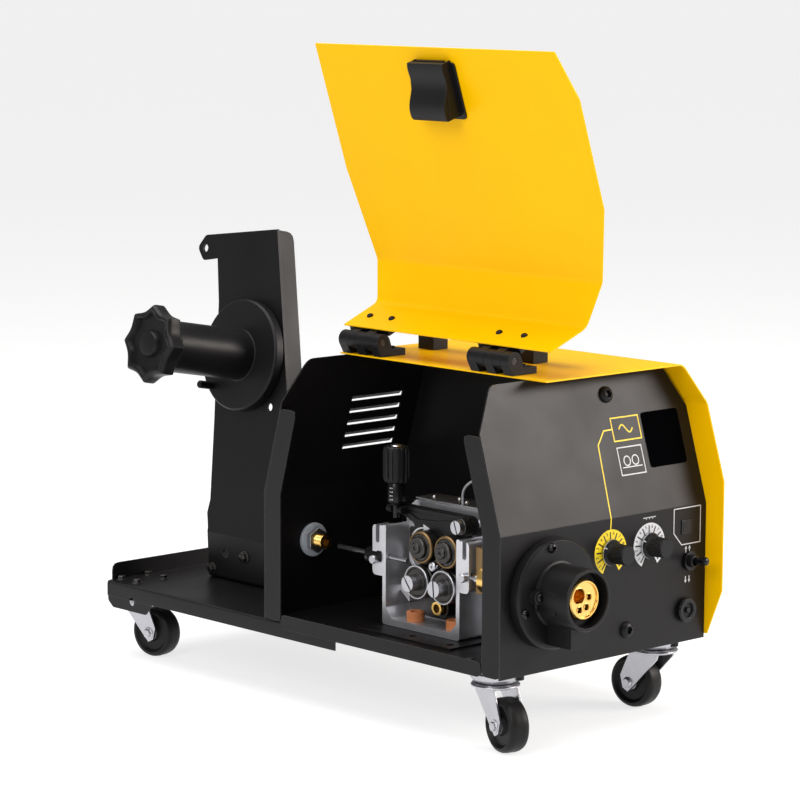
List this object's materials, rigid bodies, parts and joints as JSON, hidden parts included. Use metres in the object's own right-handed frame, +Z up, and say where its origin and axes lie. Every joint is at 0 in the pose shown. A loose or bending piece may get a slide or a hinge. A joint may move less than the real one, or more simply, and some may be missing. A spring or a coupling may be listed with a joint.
{
  "type": "welding wire feeder",
  "caption": "Portable welding wire feeder on swivel casters: black sheet case with a hinged yellow door, roll drive, torch socket and an outside spool hub on a rear tray.",
  "frame": {"origin": "on the floor under the middle of the feeder's box at rest, door open", "axes": "+X to the operator's right, +Y from the front panel to the rear tray, +Z up"},
  "size_m": [0.2841, 0.6348, 0.6211],
  "materials": {
    "yellow_paint": "semi-gloss powder coat",
    "black_paint": "satin powder coat",
    "black_plastic": "moulded, fine texture",
    "cast_aluminium": "as cast, machined faces",
    "zinc_steel": "zinc plated",
    "brass": "machined",
    "wheel_rubber": "matte",
    "smoked_plastic": "gloss",
    "circuit_board": "solder mask"
  },
  "bodies": {
    "root": {"base_pan": "black_paint", "front_panel": "black_paint", "rear_panel": "black_paint", "inner_partition": "black_paint", "hood": "yellow_paint", "rear_tray": "black_paint", "spool_bracket": "black_paint", "carrying_handle": "black_plastic", "hinge_leaf_front": "black_plastic", "hinge_leaf_rear": "black_plastic", "hinge_pin_front": "zinc_steel", "hinge_pin_rear": "zinc_steel", "hub_shaft": "zinc_steel", "hub_brake_spring": "zinc_steel", "drive_casting": "cast_aluminium", "drive_mounting_plate": "black_paint", "drive_motor": "black_paint", "wire_guide_middle": "zinc_steel", "wire_inlet_tube": "zinc_steel", "wire_inlet_fitting": "brass", "torch_socket_housing": "black_plastic", "torch_socket_insert": "brass", "display_window": "smoked_plastic", "front_control_socket": "black_plastic", "toggle_switch_body": "black_plastic", "control_board": "circuit_board", "arm_pivot_screw": "zinc_steel", "current_connector": "brass", "rear_control_socket": "zinc_steel", "gas_inlet_nipple": "brass", "caster_front_left_plate": "zinc_steel", "caster_front_right_plate": "zinc_steel", "caster_rear_left_plate": "zinc_steel", "caster_rear_right_plate": "zinc_steel"},
    "door": {"door_panel": "yellow_paint", "hinge_flap_front": "black_plastic", "hinge_flap_rear": "black_plastic", "latch_housing": "black_plastic"},
    "latch": {"latch_slider": "black_plastic"},
    "hub": {"hub_mandrel": "black_plastic"},
    "hub_knob": {"hub_lock_knob": "black_plastic"},
    "speed_dial": {"speed_dial": "black_plastic"},
    "voltage_dial": {"voltage_dial": "black_plastic"},
    "toggle": {"toggle_lever": "zinc_steel"},
    "feed_roll_front": {"feed_roll_front": "zinc_steel"},
    "feed_roll_rear": {"feed_roll_rear": "zinc_steel"},
    "pressure_arm": {"pressure_arm": "black_plastic"},
    "pressure_roll_front": {"pressure_roll_front": "zinc_steel"},
    "pressure_roll_rear": {"pressure_roll_rear": "zinc_steel"},
    "tension_unit": {"tension_stem": "black_plastic"},
    "tension_knob": {"tension_knob": "black_plastic"},
    "caster_front_left_fork": {"caster_front_left_fork": "zinc_steel"},
    "caster_front_left_wheel": {"caster_front_left_wheel": "wheel_rubber"},
    "caster_front_right_fork": {"caster_front_right_fork": "zinc_steel"},
    "caster_front_right_wheel": {"caster_front_right_wheel": "wheel_rubber"},
    "caster_rear_left_fork": {"caster_rear_left_fork": "zinc_steel"},
    "caster_rear_left_wheel": {"caster_rear_left_wheel": "wheel_rubber"},
    "caster_rear_right_fork": {"caster_rear_right_fork": "zinc_steel"},
    "caster_rear_right_wheel": {"caster_rear_right_wheel": "wheel_rubber"}
  },
  "joints": [
    {"name": "door_hinge", "type": "hinge", "parent": "root", "child": "door", "pos_m": [-0.05653, -0.09836, 0.343], "axis": [0, 1, 0], "range_deg": [-161.4, 0]},
    {"name": "latch_slide", "type": "slide", "parent": "door", "child": "latch", "axis": [0.319, 0, -0.9478], "range_m": [-0.006, 0]},
    {"name": "hub_spin", "type": "hinge", "parent": "root", "child": "hub", "pos_m": [-0.00623, 0.21864, 0.302], "axis": [-0.9842, 0, 0.1771], "continuous": true},
    {"name": "hub_knob_turn", "type": "hinge", "parent": "hub", "child": "hub_knob", "pos_m": [-0.00623, 0.21864, 0.302], "axis": [-0.9842, 0, 0.1771], "range_deg": [0, 90]},
    {"name": "speed_dial_turn", "type": "hinge", "parent": "root", "child": "speed_dial", "pos_m": [0.01107, -0.26936, 0.1684], "axis": [0, -1, 0], "range_deg": [-135, 135]},
    {"name": "voltage_dial_turn", "type": "hinge", "parent": "root", "child": "voltage_dial", "pos_m": [0.06267, -0.26936, 0.1684], "axis": [0, -1, 0], "range_deg": [-135, 135]},
    {"name": "toggle_tilt", "type": "hinge", "parent": "root", "child": "toggle", "pos_m": [0.11827, -0.27136, 0.147], "axis": [1, 0, 0], "range_deg": [-6, 18]},
    {"name": "feed_roll_rear_spin", "type": "hinge", "parent": "root", "child": "feed_roll_rear", "pos_m": [-0.06853, -0.10436, 0.1275], "axis": [1, 0, 0], "continuous": true},
    {"name": "feed_roll_front_spin", "type": "hinge", "parent": "root", "child": "feed_roll_front", "pos_m": [-0.06853, -0.13936, 0.1275], "axis": [1, 0, 0], "continuous": true},
    {"name": "pressure_arm_lift", "type": "hinge", "parent": "root", "child": "pressure_arm", "pos_m": [-0.05653, -0.15636, 0.186], "axis": [1, 0, 0], "range_deg": [0, 50]},
    {"name": "pressure_roll_front_spin", "type": "hinge", "parent": "pressure_arm", "child": "pressure_roll_front", "pos_m": [-0.06853, -0.13996, 0.16], "axis": [1, 0, 0], "continuous": true},
    {"name": "pressure_roll_rear_spin", "type": "hinge", "parent": "pressure_arm", "child": "pressure_roll_rear", "pos_m": [-0.06853, -0.10596, 0.16], "axis": [1, 0, 0], "continuous": true},
    {"name": "tension_swing", "type": "hinge", "parent": "pressure_arm", "child": "tension_unit", "pos_m": [-0.06853, -0.06936, 0.191], "axis": [0, -1, 0], "range_deg": [0, 45]},
    {"name": "tension_knob_turn", "type": "hinge", "parent": "tension_unit", "child": "tension_knob", "pos_m": [-0.06853, -0.06936, 0.231], "axis": [0, 0, 1], "range_deg": [0, 330]},
    {"name": "caster_front_left_swivel", "type": "hinge", "parent": "root", "child": "caster_front_left_fork", "pos_m": [-0.09953, -0.23436, 0.059], "axis": [0, 0, 1], "continuous": true},
    {"name": "caster_front_left_roll", "type": "hinge", "parent": "caster_front_left_fork", "child": "caster_front_left_wheel", "pos_m": [-0.10461, -0.25474, 0.025], "axis": [0.9703, -0.2419, 0], "continuous": true},
    {"name": "caster_front_right_swivel", "type": "hinge", "parent": "root", "child": "caster_front_right_fork", "pos_m": [0.11047, -0.23436, 0.059], "axis": [0, 0, 1], "continuous": true},
    {"name": "caster_front_right_roll", "type": "hinge", "parent": "caster_front_right_fork", "child": "caster_front_right_wheel", "pos_m": [0.10901, -0.21341, 0.025], "axis": [-0.9976, -0.0698, 0], "continuous": true},
    {"name": "caster_rear_left_swivel", "type": "hinge", "parent": "root", "child": "caster_rear_left_fork", "pos_m": [-0.09753, 0.27864, 0.059], "axis": [0, 0, 1], "continuous": true},
    {"name": "caster_rear_left_roll", "type": "hinge", "parent": "caster_rear_left_fork", "child": "caster_rear_left_wheel", "pos_m": [-0.09388, 0.25796, 0.025], "axis": [0.9848, 0.1736, 0], "continuous": true},
    {"name": "caster_rear_right_swivel", "type": "hinge", "parent": "root", "child": "caster_rear_right_fork", "pos_m": [0.10847, 0.27864, 0.059], "axis": [0, 0, 1], "continuous": true},
    {"name": "caster_rear_right_roll", "type": "hinge", "parent": "caster_rear_right_fork", "child": "caster_rear_right_wheel", "pos_m": [0.10591, 0.2578, 0.025], "axis": [0.9925, -0.1219, 0], "continuous": true}
  ],
  "couplings": [
    {"joint": "feed_roll_front_spin", "follows": "feed_roll_rear_spin", "ratio": 1},
    {"joint": "pressure_roll_front_spin", "follows": "feed_roll_rear_spin", "ratio": -1.0526},
    {"joint": "pressure_roll_rear_spin", "follows": "feed_roll_rear_spin", "ratio": -1.0526}
  ]
}
